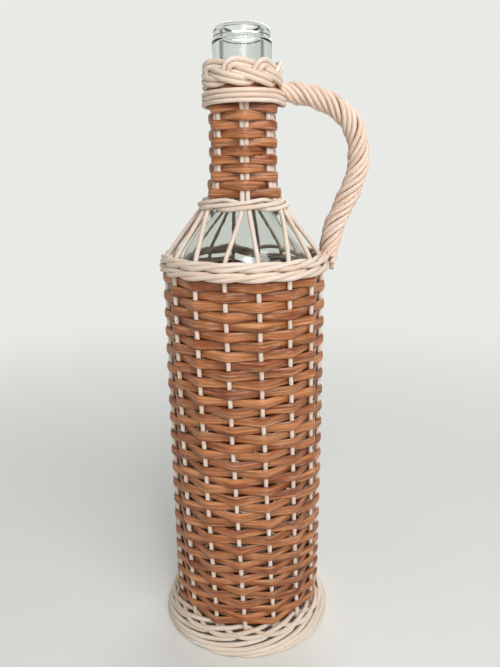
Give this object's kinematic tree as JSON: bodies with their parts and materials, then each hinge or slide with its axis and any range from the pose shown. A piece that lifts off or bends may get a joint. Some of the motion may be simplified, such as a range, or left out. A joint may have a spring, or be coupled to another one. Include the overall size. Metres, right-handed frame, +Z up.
{
  "type": "wicker-covered bottle",
  "caption": "Slim round glass bottle with a sloping shoulder, in a woven jacket of brown strip and pale cane with a roped side handle and an open mouth.",
  "frame": {"origin": "on the bottle's axis, at the height of the table that it stands on", "axes": "+Z up the bottle's axis to its mouth, +X towards the handle, -Y the front"},
  "size_m": [0.1109, 0.0958, 0.3204],
  "materials": {
    "clear_glass": "clear, smooth, faintly green",
    "pale_cane": "peeled round cane, satin",
    "brown_strip": "split strip with its brown skin, satin",
    "core_cane": "plain peeled cane, matt"
  },
  "bodies": {
    "root": {"glass_bottle": "clear_glass", "stake_01": "pale_cane", "stake_02": "pale_cane", "stake_03": "pale_cane", "stake_04": "pale_cane", "stake_05": "pale_cane", "stake_06": "pale_cane", "stake_07": "pale_cane", "stake_08": "pale_cane", "stake_09": "pale_cane", "stake_10": "pale_cane", "stake_11": "pale_cane", "stake_12": "pale_cane", "stake_13": "pale_cane", "stake_14": "pale_cane", "stake_15": "pale_cane", "stake_16": "pale_cane", "foot_cane_01": "pale_cane", "foot_cane_02": "pale_cane", "foot_cane_03": "pale_cane", "foot_cane_04": "pale_cane", "foot_cane_05": "pale_cane", "foot_cane_06": "pale_cane", "foot_cane_07": "pale_cane", "foot_cane_08": "pale_cane", "foot_cane_09": "pale_cane", "foot_cane_10": "pale_cane", "foot_cane_11": "pale_cane", "foot_cane_12": "pale_cane", "foot_cane_13": "pale_cane", "foot_cane_14": "pale_cane", "foot_cane_15": "pale_cane", "foot_cane_16": "pale_cane", "body_weaver": "brown_strip", "foot_weaver": "pale_cane", "wale_cane_1": "pale_cane", "wale_cane_2": "pale_cane", "wale_cane_3": "pale_cane", "neck_ring_cane_1": "pale_cane", "neck_ring_cane_2": "pale_cane", "neck_ring_cane_3": "pale_cane", "neck_weaver": "brown_strip", "neck_binding": "pale_cane", "collar_cane_1": "pale_cane", "collar_cane_2": "pale_cane", "handle_core": "core_cane", "handle_cane_1": "pale_cane", "handle_cane_2": "pale_cane", "handle_cane_3": "pale_cane", "handle_cane_4": "pale_cane", "handle_cane_5": "pale_cane", "handle_cane_6": "pale_cane", "handle_cane_7": "pale_cane", "handle_cane_8": "pale_cane", "base_stick_1": "core_cane", "base_stick_2": "core_cane", "base_stick_3": "core_cane", "base_stick_4": "core_cane", "base_stick_5": "core_cane", "base_weaver": "core_cane"}
  },
  "joints": []
}
